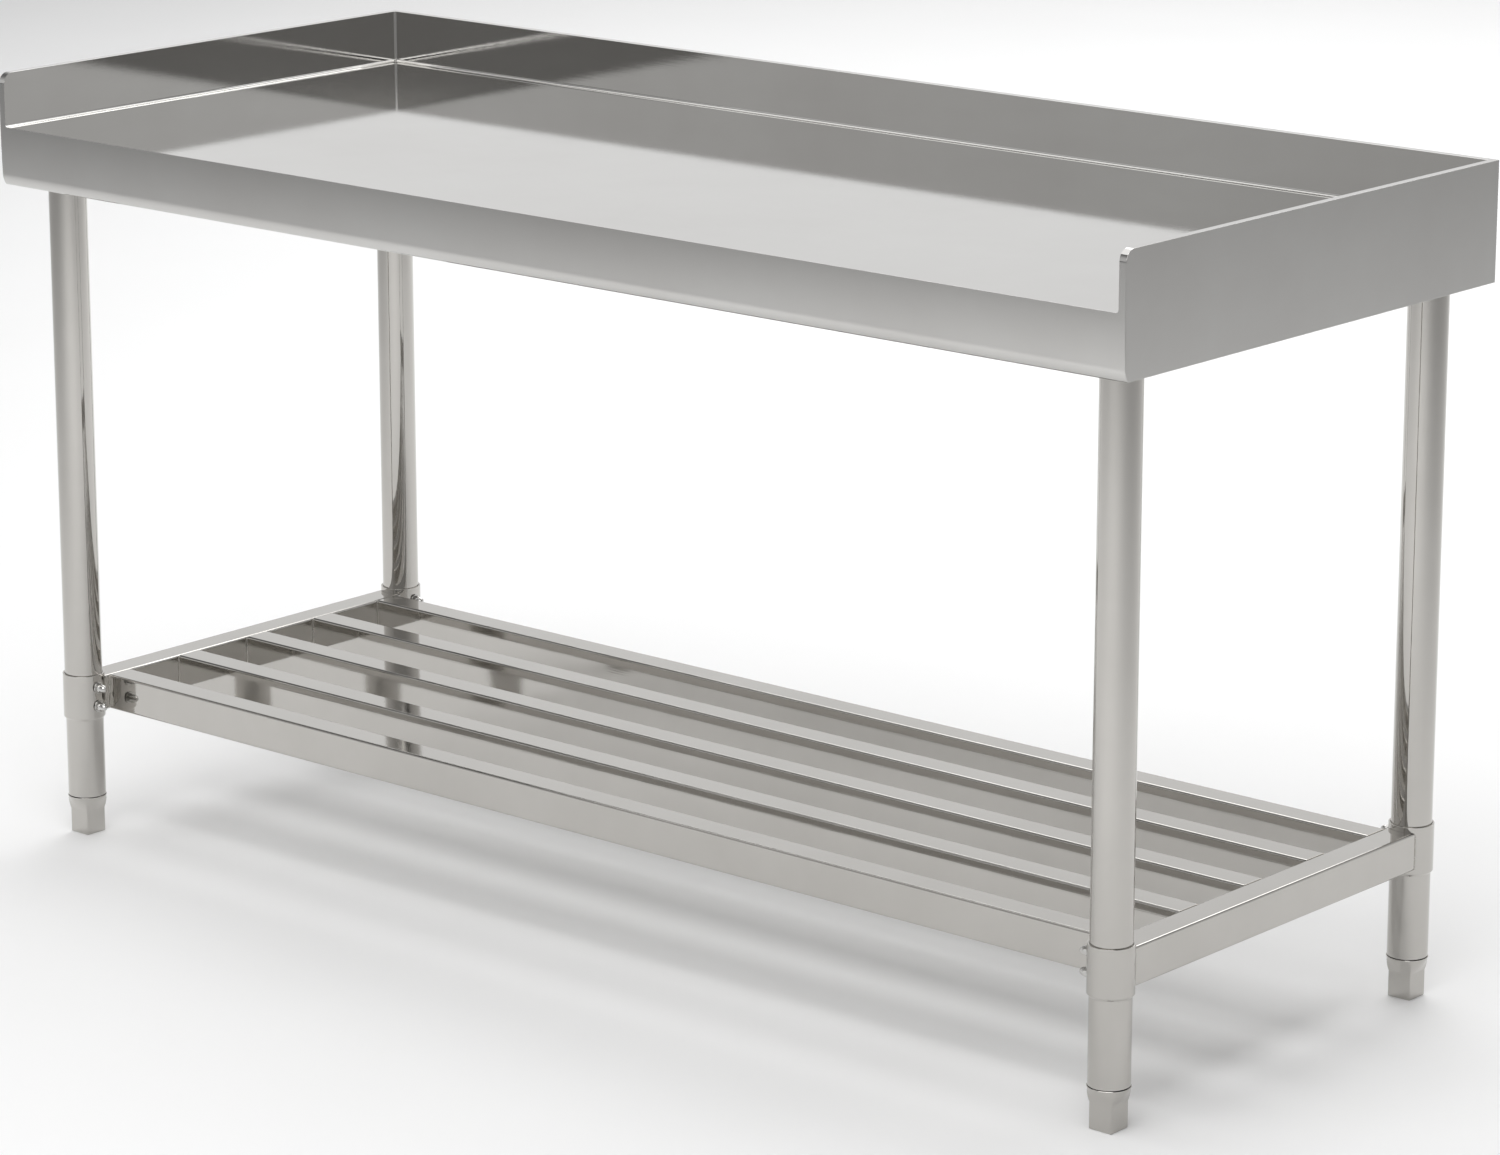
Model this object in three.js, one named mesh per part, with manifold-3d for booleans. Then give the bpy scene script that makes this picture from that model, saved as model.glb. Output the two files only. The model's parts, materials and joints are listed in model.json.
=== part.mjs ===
// Stainless work table: a folded tray-shaped worktop on four round legs with screw-in levelling
// feet, and a slatted undershelf of rectangular tube that is clamped to the legs by collars.
// Millimetres. X is the width, -Y is the front, +Z is up, and the feet rest on Z = 0.
import * as THREE from 'three';
import { mergeVertices } from 'three/addons/utils/BufferGeometryUtils.js';
import Module from 'manifold-3d';

const wasm = await Module();
wasm.setup();

// ---- Driving dimensions --------------------------------------------------------------------

const WIDTH = 1500;
const DEPTH = 600;
const HEIGHT = 850;
const GAP = 0.3; // left between pieces that touch
const OVERRUN = 2; // how far a cutting tool passes the face that it cuts

// Worktop: one folded sheet with a double-walled splash on the left, right and rear
const SHEET = 1.5;
const TRAY_FLOOR_Z = 792;
const APRON_BOTTOM_Z = 729;
const SPLASH_THICKNESS = 8;
const SPLASH_CORNER_R = 12;
const TRAY_BEND_R = 3;
const CURL_R = 20;
const CURL_ANGLE = THREE.MathUtils.degToRad(35);
const RETURN_LIP = 10;

// Stiffening under the worktop
const BOARD_THICKNESS = 18;
const BOARD_MARGIN = 15;
const CHANNEL_WIDTH = 60;
const CHANNEL_DEPTH = 24;
const CHANNEL_MARGIN = 20;

// Legs: round tube
const LEG_R = 20.6;
const LEG_WALL = 1.2;
const LEG_X = 706.9;
const LEG_FRONT_Y = -246;
const LEG_REAR_Y = 250;
const LEG_BOTTOM_Z = 44;

// Sockets that hold the tops of the legs
const SOCKET_R = 25.5;
const SOCKET_BOTTOM_Z = 732;
const SOCKET_TOP_THICKNESS = 4;
const SOCKET_LEAD_IN = 1.5;
const SET_SCREW_R = 4;
const SET_SCREW_HEAD_R = 7.5;
const SET_SCREW_HEAD_LENGTH = 5;
const SET_SCREW_Z = 739;

// Feet: a cup that is round at the top and square at the bottom, on a threaded stem
const FOOT_TOP_R = 21.2;
const FOOT_SQUARE = 26;
const FOOT_SQUARE_HEIGHT = 27;
const FOOT_LIP = 1.4;
const FOOT_BEVEL = 1;
const FOOT_RECESS_TOP_R = 18.6;
const FOOT_RECESS_BOTTOM_R = 11.5;
const FOOT_RECESS_Z = 28;
const STEM_R = 5;
const STEM_BOTTOM_Z = 8;
const STEM_TOP_Z = 88;
const INSERT_HEIGHT = 30;

// Undershelf: rectangular tube, flat side down
const TUBE_WIDTH = 32;
const TUBE_WALL = 1.5;
const TUBE_CORNER_R = 2.5;
const SHELF_BOTTOM_Z = 138.7;
const SHELF_TOP_Z = 177.7;
const SLAT_COUNT = 3;

// Collars that clamp the undershelf to the legs, with two screws and cap nuts each
const COLLAR_R = 22.9;
const COLLAR_BOTTOM_Z = 132;
const COLLAR_TOP_Z = 183;
const COLLAR_CHAMFER = 2.3;
const CLAMP_SCREW_R = 3;
const CLAMP_SCREW_END = 33;
const CLAMP_SCREW_Z = { lower: 147.8, upper: 168.8 };
const NUT_FLANGE_R = 6.5;
const NUT_FLANGE_THICKNESS = 1.5;
const NUT_HEX_R = 5.6;
const NUT_HEX_LENGTH = 4;
const NUT_DOME_R = 4.7;
const NUT_TIP = 36;

// Facets on round pieces
const ROUND_SEGMENTS = 48;
const SCREW_SEGMENTS = 20;
const ARC_SEGMENTS = 5;

// ---- Materials -----------------------------------------------------------------------------

const metal = (color, roughness) => () => new THREE.MeshStandardMaterial({ color, roughness, metalness: 1 });
const plain = (color, roughness) => () => new THREE.MeshStandardMaterial({ color, roughness, metalness: 0 });
const sheetSteel = metal(0xc9ccce, 0.28);
const tubeSteel = metal(0xc4c8cb, 0.2);
const fastenerSteel = metal(0xb8bcc0, 0.25);
const boardLaminate = plain(0xb4b4b0, 0.5);
const insertPlastic = plain(0x2c2d2f, 0.6);

// ---- Helpers: profiles, solids and placing -------------------------------------------------

const AXIS_X = new THREE.Vector3(1, 0, 0);
const AXIS_Y = new THREE.Vector3(0, 1, 0);
const AXIS_Z = new THREE.Vector3(0, 0, 1);

// A shape drawn in (Y, Z) becomes a bar from x0 to x1.
function extrudeAlongX(shape, x0, x1) {
  const options = { depth: x1 - x0, bevelEnabled: false, curveSegments: ARC_SEGMENTS };
  const geometry = new THREE.ExtrudeGeometry(shape, options);
  geometry.applyMatrix4(new THREE.Matrix4().makeBasis(AXIS_Y, AXIS_Z, AXIS_X));
  return geometry.translate(x0, 0, 0);
}

// A shape drawn in (X, Z) becomes a bar from y0 to y1.
function extrudeAlongY(shape, y0, y1) {
  const options = { depth: y1 - y0, bevelEnabled: false, curveSegments: ARC_SEGMENTS };
  const geometry = new THREE.ExtrudeGeometry(shape, options);
  geometry.applyMatrix4(new THREE.Matrix4().makeBasis(AXIS_X, AXIS_Z, AXIS_Y.clone().negate()));
  return geometry.translate(0, y1, 0);
}

function box(x0, x1, y0, y1, z0, z1) {
  const geometry = new THREE.BoxGeometry(x1 - x0, y1 - y0, z1 - z0);
  return geometry.translate((x0 + x1) / 2, (y0 + y1) / 2, (z0 + z1) / 2);
}

// A profile of [radius, height] pairs, turned about Z. It runs outwards, up and back in.
function turnAboutZ(profile, segments = ROUND_SEGMENTS) {
  const points = profile.map(([radius, height]) => new THREE.Vector2(radius, height));
  return new THREE.LatheGeometry(points, segments).rotateX(Math.PI / 2);
}

// The same, turned about X, with the profile's heights running along +X.
function turnAboutX(profile, segments = SCREW_SEGMENTS) {
  return turnAboutZ(profile, segments).rotateY(Math.PI / 2);
}

const ring = (inner, outer, low, high) => [[inner, low], [outer, low], [outer, high], [inner, high], [inner, low]];
const rod = (radius, low, high) => [[0, low], [radius, low], [radius, high], [0, high]];

function roundedRectangle(Path, u0, u1, v0, v1, radius) {
  const path = new Path();
  path.moveTo(u0 + radius, v0);
  path.lineTo(u1 - radius, v0);
  path.absarc(u1 - radius, v0 + radius, radius, -Math.PI / 2, 0);
  path.lineTo(u1, v1 - radius);
  path.absarc(u1 - radius, v1 - radius, radius, 0, Math.PI / 2);
  path.lineTo(u0 + radius, v1);
  path.absarc(u0 + radius, v1 - radius, radius, Math.PI / 2, Math.PI);
  path.lineTo(u0, v0 + radius);
  path.absarc(u0 + radius, v0 + radius, radius, Math.PI, 1.5 * Math.PI);
  return path;
}

// three.js geometry to a manifold solid, for cutting and joining
function solid(geometry) {
  const bare = geometry.clone();
  bare.deleteAttribute('normal');
  bare.deleteAttribute('uv');
  const merged = mergeVertices(bare, 1e-4);
  const mesh = new wasm.Mesh({
    numProp: 3,
    vertProperties: new Float32Array(merged.attributes.position.array),
    triVerts: new Uint32Array(merged.index.array),
  });
  mesh.merge();
  return new wasm.Manifold(mesh);
}

function geometryOf(manifold) {
  const mesh = manifold.getMesh();
  const geometry = new THREE.BufferGeometry();
  geometry.setAttribute('position', new THREE.BufferAttribute(mesh.vertProperties, 3));
  geometry.setIndex(new THREE.BufferAttribute(mesh.triVerts, 1));
  geometry.computeVertexNormals();
  return geometry;
}

function cut(geometry, ...tools) {
  const result = tools.reduce((body, tool) => body.subtract(solid(tool)), solid(geometry));
  return geometryOf(result);
}

function join(...geometries) {
  const [first, ...rest] = geometries.map(solid);
  return geometryOf(rest.reduce((body, next) => body.add(next), first));
}

const table = new THREE.Group();

function place(parent, name, geometry, material, x = 0, y = 0, z = 0) {
  const mesh = new THREE.Mesh(geometry, material());
  mesh.name = name;
  mesh.position.set(x, y, z);
  parent.add(mesh);
  return mesh;
}

// ---- Worktop -------------------------------------------------------------------------------

// Side view of the folded sheet in (Y, Z): curled under at the lower front edge and rounded at
// the upper front corner. A positive inset gives the inner face of the sheet.
function worktopSideView(inset, top, bottom) {
  const front = -DEPTH / 2 + inset;
  const back = DEPTH / 2 - inset;
  const curlR = CURL_R - inset;
  const curlCentreY = front + curlR;
  const curlCentreZ = APRON_BOTTOM_Z + CURL_R * Math.sin(CURL_ANGLE);
  const cornerR = SPLASH_CORNER_R - inset;
  const shape = new THREE.Shape();
  shape.moveTo(back, bottom);
  shape.lineTo(back, top);
  shape.lineTo(front + cornerR, top);
  shape.absarc(front + cornerR, top - cornerR, cornerR, Math.PI / 2, Math.PI);
  shape.lineTo(front, curlCentreZ);
  const curlEnd = Math.asin((curlCentreZ - bottom) / curlR);
  shape.absarc(curlCentreY, curlCentreZ, curlR, Math.PI, Math.PI + curlEnd);
  return shape;
}

// The working surface's space: open at the front and top, with a bend radius along the splash
function traySpace() {
  const side = WIDTH / 2 - SPLASH_THICKNESS;
  const back = DEPTH / 2 - SPLASH_THICKNESS;
  const above = HEIGHT + 2 * TRAY_BEND_R;
  const across = roundedRectangle(THREE.Shape, -side, side, TRAY_FLOOR_Z, above, TRAY_BEND_R);
  const along = roundedRectangle(THREE.Shape, -DEPTH, back, TRAY_FLOOR_Z, above, TRAY_BEND_R);
  const crosswise = solid(extrudeAlongY(across, -DEPTH, back + OVERRUN));
  const lengthwise = solid(extrudeAlongX(along, -WIDTH, WIDTH));
  return geometryOf(crosswise.intersect(lengthwise));
}

function worktop() {
  const halfWidth = WIDTH / 2;
  const inside = halfWidth - SHEET;
  const backInside = DEPTH / 2 - SHEET;
  const wall = SPLASH_THICKNESS - SHEET;
  const splashTop = HEIGHT - SHEET;
  const lipTop = APRON_BOTTOM_Z + SHEET;
  const underFloor = TRAY_FLOOR_Z - SHEET;
  const outer = extrudeAlongX(worktopSideView(0, HEIGHT, APRON_BOTTOM_Z), -halfWidth, halfWidth);
  const sideHollow = worktopSideView(SHEET, splashTop, lipTop);
  const underside = geometryOf(
    solid(extrudeAlongX(sideHollow, -inside, inside)).intersect(
      solid(box(-halfWidth, halfWidth, -DEPTH, DEPTH, lipTop, underFloor)),
    ),
  );
  const lipOpening = box(
    -halfWidth + RETURN_LIP,
    halfWidth - RETURN_LIP,
    -DEPTH / 2 + RETURN_LIP + CURL_R * (1 - Math.cos(CURL_ANGLE)),
    DEPTH / 2 - RETURN_LIP,
    APRON_BOTTOM_Z - OVERRUN,
    underFloor,
  );
  return cut(
    outer,
    traySpace(),
    underside,
    lipOpening,
    extrudeAlongX(sideHollow, -inside, -halfWidth + wall),
    extrudeAlongX(sideHollow, halfWidth - wall, inside),
    box(-inside, inside, DEPTH / 2 - wall, backInside, lipTop, splashTop),
  );
}

place(table, 'worktop', worktop(), sheetSteel);

// ---- Backing board and cross channels under the worktop ------------------------------------

const boardTop = TRAY_FLOOR_Z - SHEET - GAP;
const boardBottom = boardTop - BOARD_THICKNESS;
const boardX = WIDTH / 2 - BOARD_MARGIN;
const boardY = DEPTH / 2 - BOARD_MARGIN;
place(table, 'backing_board', box(-boardX, boardX, -boardY, boardY, boardBottom, boardTop), boardLaminate);

// A channel opens downwards and runs from front to back.
const channelTop = boardBottom - GAP;
const channelBottom = channelTop - CHANNEL_DEPTH;

function crossChannel() {
  const half = CHANNEL_WIDTH / 2;
  const inner = half - SHEET;
  const length = DEPTH / 2 - CHANNEL_MARGIN;
  const block = box(-half, half, -length, length, channelBottom, channelTop);
  return cut(block, box(-inner, inner, -DEPTH, DEPTH, channelBottom - OVERRUN, channelTop - SHEET));
}

for (const [side, x] of [['left', -LEG_X], ['middle', 0], ['right', LEG_X]]) {
  place(table, `cross_channel_${side}`, crossChannel(), sheetSteel, x);
}

// ---- Leg assemblies ------------------------------------------------------------------------

const socketTop = channelTop - SHEET - GAP;
const legTop = socketTop - SOCKET_TOP_THICKNESS - GAP;

// A cap welded inside the channel. Its sleeve takes the leg, and one side is drilled.
function legSocket() {
  const bore = LEG_R + GAP;
  const sleeve = turnAboutZ([
    [0, legTop + GAP],
    [bore, legTop + GAP],
    [bore, SOCKET_BOTTOM_Z],
    [SOCKET_R - SOCKET_LEAD_IN, SOCKET_BOTTOM_Z],
    [SOCKET_R, SOCKET_BOTTOM_Z + 2 * SOCKET_LEAD_IN],
    [SOCKET_R, socketTop],
    [0, socketTop],
  ]);
  const hole = turnAboutX(rod(SET_SCREW_R + GAP, LEG_R - OVERRUN, SOCKET_R + OVERRUN));
  return cut(sleeve, hole.translate(0, 0, SET_SCREW_Z));
}

// Hexagon-head screw whose tip meets the leg
function socketSetScrew() {
  const headStart = SOCKET_R + GAP;
  const shank = turnAboutX(rod(SET_SCREW_R, LEG_R + GAP, headStart + SET_SCREW_HEAD_LENGTH / 2));
  const head = turnAboutX(rod(SET_SCREW_HEAD_R, headStart, headStart + SET_SCREW_HEAD_LENGTH), 6);
  return join(shank, head);
}

function legTube() {
  return turnAboutZ(ring(LEG_R - LEG_WALL, LEG_R, LEG_BOTTOM_Z, legTop));
}

// Threaded plug pressed into the foot of the leg tube
function legInsert() {
  const low = LEG_BOTTOM_Z + GAP;
  return turnAboutZ(ring(STEM_R + GAP, LEG_R - LEG_WALL - GAP, low, low + INSERT_HEIGHT));
}

function footStem() {
  return turnAboutZ(rod(STEM_R, STEM_BOTTOM_Z + GAP, STEM_TOP_Z), SCREW_SEGMENTS);
}

// The cup's outside goes from a circle at the lip to a square at the floor, and its inside is
// turned. Each profile point is [radius, height, squareness].
function footCup() {
  const top = LEG_BOTTOM_Z - 2 * GAP;
  const half = FOOT_SQUARE / 2;
  const lipBottom = top - FOOT_LIP;
  const middle = (lipBottom + FOOT_SQUARE_HEIGHT) / 2;
  const profile = [
    [0, 0, 0],
    [half - FOOT_BEVEL, 0, 1],
    [half, FOOT_BEVEL, 1],
    [half, FOOT_SQUARE_HEIGHT, 1],
    [(half + FOOT_TOP_R) / 2, middle, 0.5],
    [FOOT_TOP_R, lipBottom, 0],
    [FOOT_TOP_R, top, 0],
    [FOOT_RECESS_TOP_R, top, 0],
    [FOOT_RECESS_BOTTOM_R, FOOT_RECESS_Z, 0],
    [STEM_R + GAP, FOOT_RECESS_Z, 0],
    [STEM_R + GAP, STEM_BOTTOM_Z, 0],
    [0, STEM_BOTTOM_Z, 0],
  ];
  const geometry = turnAboutZ(profile);
  const position = geometry.attributes.position;
  const point = new THREE.Vector3();
  for (let i = 0; i < position.count; i += 1) {
    const squareness = profile[i % profile.length][2];
    point.fromBufferAttribute(position, i);
    const radius = Math.hypot(point.x, point.y);
    if (squareness > 0) {
      const stretch = radius / Math.max(Math.abs(point.x), Math.abs(point.y));
      const flat = 1 + squareness * (stretch - 1) * (half / radius);
      position.setXY(i, point.x * flat, point.y * flat);
    }
  }
  return geometry;
}

// ---- Clamp collars, screws and nuts --------------------------------------------------------

function clampCollar() {
  const bore = LEG_R + GAP;
  const sleeve = turnAboutZ([
    [bore, COLLAR_BOTTOM_Z],
    [bore + GAP, COLLAR_BOTTOM_Z],
    [COLLAR_R, COLLAR_BOTTOM_Z + COLLAR_CHAMFER],
    [COLLAR_R, COLLAR_TOP_Z],
    [bore, COLLAR_TOP_Z],
    [bore, COLLAR_BOTTOM_Z],
  ]);
  const hole = turnAboutX(rod(CLAMP_SCREW_R + GAP, LEG_R - OVERRUN, COLLAR_R + OVERRUN));
  const holes = Object.values(CLAMP_SCREW_Z).map((z) => hole.clone().translate(0, 0, z));
  return cut(sleeve, ...holes);
}

function clampScrew() {
  return turnAboutX(rod(CLAMP_SCREW_R, LEG_R + GAP, CLAMP_SCREW_END), SCREW_SEGMENTS);
}

// Domed cap nut with a washer face. The clamp screw ends inside its blind bore.
function capNut() {
  const flangeStart = COLLAR_R + GAP;
  const hexStart = flangeStart + NUT_FLANGE_THICKNESS;
  const domeStart = hexStart + NUT_HEX_LENGTH;
  const flange = turnAboutX(rod(NUT_FLANGE_R, flangeStart, hexStart));
  const hexagon = turnAboutX(rod(NUT_HEX_R, hexStart - NUT_FLANGE_THICKNESS / 2, domeStart), 6);
  const dome = [[0, hexStart], [NUT_DOME_R, hexStart]];
  for (let i = 0; i <= ARC_SEGMENTS; i += 1) {
    const angle = (i / ARC_SEGMENTS) * (Math.PI / 2);
    const height = domeStart + (NUT_TIP - domeStart) * Math.sin(angle);
    dome.push([i === ARC_SEGMENTS ? 0 : NUT_DOME_R * Math.cos(angle), height]);
  }
  const blank = join(flange, hexagon, turnAboutX(dome));
  const bore = turnAboutX(rod(CLAMP_SCREW_R + GAP, flangeStart - OVERRUN, CLAMP_SCREW_END + GAP));
  return cut(blank, bore);
}

// ---- Undershelf tubes ----------------------------------------------------------------------

// Section of a tube standing on its narrow side, from u0 to u0 + TUBE_WIDTH
function tubeSection(u0) {
  const shape = roundedRectangle(
    THREE.Shape, u0, u0 + TUBE_WIDTH, SHELF_BOTTOM_Z, SHELF_TOP_Z, TUBE_CORNER_R,
  );
  const hollow = roundedRectangle(
    THREE.Path, u0 + TUBE_WALL, u0 + TUBE_WIDTH - TUBE_WALL,
    SHELF_BOTTOM_Z + TUBE_WALL, SHELF_TOP_Z - TUBE_WALL, TUBE_CORNER_R - TUBE_WALL,
  );
  shape.holes.push(hollow);
  return shape;
}

const crossTubeEnd = LEG_X - TUBE_WIDTH / 2 - GAP;
const crossTube = (y0) => extrudeAlongX(tubeSection(y0), -crossTubeEnd, crossTubeEnd);

// A side tube runs from collar to collar, and each end is coped to fit round the collar.
function sideTube() {
  const tube = extrudeAlongY(tubeSection(-TUBE_WIDTH / 2), LEG_FRONT_Y, LEG_REAR_Y);
  const cope = turnAboutZ(rod(COLLAR_R + GAP, COLLAR_BOTTOM_Z, COLLAR_TOP_Z));
  return cut(tube, cope.clone().translate(0, LEG_FRONT_Y, 0), cope.clone().translate(0, LEG_REAR_Y, 0));
}

const frontTubeY = LEG_FRONT_Y + COLLAR_R;
const rearTubeY = LEG_REAR_Y - COLLAR_R - TUBE_WIDTH;
place(table, 'shelf_front_rail', crossTube(frontTubeY), tubeSteel);
place(table, 'shelf_rear_rail', crossTube(rearTubeY), tubeSteel);

const slatPitch = (rearTubeY - frontTubeY) / (SLAT_COUNT + 1);
for (let i = 1; i <= SLAT_COUNT; i += 1) {
  place(table, `shelf_slat_${i}`, crossTube(frontTubeY + i * slatPitch), tubeSteel);
}

for (const [side, x] of [['left', -LEG_X], ['right', LEG_X]]) {
  place(table, `shelf_side_rail_${side}`, sideTube(), tubeSteel, x);
}

// ---- The four corners ----------------------------------------------------------------------

// Every corner is the same set of pieces. Screws point inwards, so the left ones face +X.
for (const [row, y] of [['front', LEG_FRONT_Y], ['rear', LEG_REAR_Y]]) {
  for (const [side, x] of [['left', -LEG_X], ['right', LEG_X]]) {
    const corner = new THREE.Group();
    corner.position.set(x, y, 0);
    corner.rotation.z = side === 'left' ? 0 : Math.PI;
    table.add(corner);
    const at = `${row}_${side}`;
    place(corner, `leg_socket_${at}`, legSocket(), fastenerSteel);
    place(corner, `socket_screw_${at}`, socketSetScrew(), fastenerSteel, 0, 0, SET_SCREW_Z);
    place(corner, `leg_${at}`, legTube(), tubeSteel);
    place(corner, `leg_insert_${at}`, legInsert(), insertPlastic);
    place(corner, `foot_stem_${at}`, footStem(), fastenerSteel);
    place(corner, `foot_cup_${at}`, footCup(), fastenerSteel);
    place(corner, `clamp_collar_${at}`, clampCollar(), tubeSteel);
    for (const [level, z] of Object.entries(CLAMP_SCREW_Z)) {
      place(corner, `clamp_screw_${at}_${level}`, clampScrew(), fastenerSteel, 0, 0, z);
      place(corner, `cap_nut_${at}_${level}`, capNut(), fastenerSteel, 0, 0, z);
    }
  }
}

export default table;
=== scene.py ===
# %% [markdown]
# # A stainless work table
# The imported model gives every piece its true size and place. This lesson gives each piece the surface
# of the real one: folded and polished sheet, drawn tube, turned fittings, threads and welds. We load the
# frame first and note its box.

# %% Load the frame
import json
import math

import bmesh
import bpy
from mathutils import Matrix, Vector


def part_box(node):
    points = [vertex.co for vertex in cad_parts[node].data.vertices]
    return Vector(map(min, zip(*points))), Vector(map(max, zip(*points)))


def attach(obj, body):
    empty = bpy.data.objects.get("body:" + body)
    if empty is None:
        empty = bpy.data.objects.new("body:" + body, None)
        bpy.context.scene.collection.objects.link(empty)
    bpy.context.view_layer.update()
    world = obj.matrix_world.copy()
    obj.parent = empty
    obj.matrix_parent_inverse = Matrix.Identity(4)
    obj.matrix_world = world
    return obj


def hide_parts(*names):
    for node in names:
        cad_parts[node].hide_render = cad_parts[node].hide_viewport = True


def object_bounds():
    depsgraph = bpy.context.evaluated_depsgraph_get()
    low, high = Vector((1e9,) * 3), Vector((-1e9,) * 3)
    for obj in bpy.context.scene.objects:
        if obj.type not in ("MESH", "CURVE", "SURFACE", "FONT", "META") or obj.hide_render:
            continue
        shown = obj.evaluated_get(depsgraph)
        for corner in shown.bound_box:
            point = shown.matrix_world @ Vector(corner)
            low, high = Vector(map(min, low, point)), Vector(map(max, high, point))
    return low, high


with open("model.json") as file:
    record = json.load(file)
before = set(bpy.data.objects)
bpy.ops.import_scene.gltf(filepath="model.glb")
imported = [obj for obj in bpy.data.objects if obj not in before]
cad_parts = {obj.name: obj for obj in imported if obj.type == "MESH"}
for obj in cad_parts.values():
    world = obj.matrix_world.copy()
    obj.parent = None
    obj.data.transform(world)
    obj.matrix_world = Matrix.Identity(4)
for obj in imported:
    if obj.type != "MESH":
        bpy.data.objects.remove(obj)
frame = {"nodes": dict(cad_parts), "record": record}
CAD_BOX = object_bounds()
RECORD = frame["record"]
BODY_OF = {node: body for body, nodes in RECORD["behaviour"]["bodies"].items() for node in nodes}
MM = 0.001

# %% [markdown]
# ## Camera
# Furniture is best shown through a long lens from well back, so that upright lines stay nearly parallel.
# A camera could be typed in as a place and three turns, but those numbers say little. We place it by
# angle and distance round a point inside the table, as if we walked round it, and then slide it a little
# so that the table fills the frame edge to edge.

# %% Camera
AZIMUTH = math.radians(40.88)
ELEVATION = math.radians(14.30)
DISTANCE = 5.3956
SLIDE_RIGHT = 0.0381
SLIDE_UP = 0.0513
ORBIT_HEIGHT = 0.35
LENS_MM = 124.4
LENS_SHIFT_UP = -0.025

flat = math.cos(ELEVATION)
look = Vector((-math.sin(AZIMUTH) * flat, math.cos(AZIMUTH) * flat, -math.sin(ELEVATION)))
turn = look.to_track_quat("-Z", "Y")
right = turn @ Vector((1, 0, 0))
up = turn @ Vector((0, 1, 0))
camera_data = bpy.data.cameras.new("camera")
camera_data.lens = LENS_MM
camera_data.shift_y = LENS_SHIFT_UP
camera = bpy.data.objects.new("camera", camera_data)
camera.rotation_mode = "QUATERNION"
camera.rotation_quaternion = turn
camera.location = Vector((0, 0, ORBIT_HEIGHT)) - look * DISTANCE + right * SLIDE_RIGHT + up * SLIDE_UP
bpy.context.scene.collection.objects.link(camera)
bpy.context.scene.camera = camera
print("camera at", [round(v, 3) for v in camera.location])

# %% [markdown]
# ## Node helpers
# A material is a small network of nodes. It could be built by hand in the shader editor, but a script
# can be read and run again. A few helpers keep the networks short: one adds a node and fills in its
# sockets, one makes noise that can be stretched along the grain of the metal, and the others map a value
# to a range, blend two colours and turn a height into a bump. A mix node keeps its two colours in inputs
# 6 and 7, after the ones for plain numbers and vectors, and its blended colour comes out of output 2.

# %% Node helpers
def add_node(tree, kind, inputs=None, **settings):
    node = tree.nodes.new(kind)
    for key, value in settings.items():
        setattr(node, key, value)
    for key, value in (inputs or {}).items():
        if isinstance(value, bpy.types.NodeSocket):
            tree.links.new(value, node.inputs[key])
        else:
            node.inputs[key].default_value = value
    return node


def noise(tree, stretch, scale, detail=3.0, roughness=0.5):
    place = add_node(tree, "ShaderNodeTexCoord")
    mapping = add_node(tree, "ShaderNodeMapping", {"Vector": place.outputs["Object"], "Scale": stretch})
    inputs = {"Vector": mapping.outputs["Vector"], "Scale": scale, "Detail": detail, "Roughness": roughness}
    return add_node(tree, "ShaderNodeTexNoise", inputs).outputs["Fac"]


def ramp(tree, value, low, high, start=0.3, end=0.7):
    return add_node(
        tree, "ShaderNodeMapRange",
        {"Value": value, "From Min": start, "From Max": end, "To Min": low, "To Max": high},
    ).outputs["Result"]


def blend_colours(tree, factor, first, second):
    node = add_node(tree, "ShaderNodeMix", data_type="RGBA")
    tree.links.new(factor, node.inputs[0])
    node.inputs[6].default_value = (*first, 1)
    node.inputs[7].default_value = (*second, 1)
    return node.outputs[2]


def bump(tree, height, strength, distance, under=None):
    inputs = {"Height": height, "Strength": strength, "Distance": distance}
    node = add_node(tree, "ShaderNodeBump", inputs)
    if under is not None:
        tree.links.new(under, node.inputs["Normal"])
    return node.outputs["Normal"]


def new_material(name):
    material = bpy.data.materials.new(name)
    material.use_nodes = True
    return material, material.node_tree, material.node_tree.nodes["Principled BSDF"]


print("node helpers ready")

# %% [markdown]
# ## Polished stainless steel
# The top and the tubes are polished until they mirror the room, but not perfectly: polishing leaves a
# fine grain along the length, thin sheet is never quite flat, and wiping leaves faint hazy streaks. An
# image of brushed metal would show all three, but it blurs close up and repeats. So the steel is one
# recipe made from noise: two tones, how rough the polish is, which way the grain runs, how deep it is,
# and how much the sheet waves. Grain is noise stretched a hundredfold along one axis.

# %% Stainless recipe
SHEET_TONES = ((0.59, 0.585, 0.57), (0.55, 0.54, 0.525))
# The tube tones are the sheet's steel made darker: painted shade that stands in for the dimmer light on the
# pieces under the top.
SHADED_TUBE_TONES = ((0.53, 0.515, 0.49), (0.48, 0.465, 0.44))
GRAIN_ALONG = {"x": (1.5, 160, 160), "y": (160, 1.5, 160), "z": (160, 160, 1.5)}
EVEN = (1, 1, 1)
HAZE = 0.02
GRAIN_HEIGHT = 0.2 * MM
WAVE_HEIGHT = 10 * MM


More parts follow.
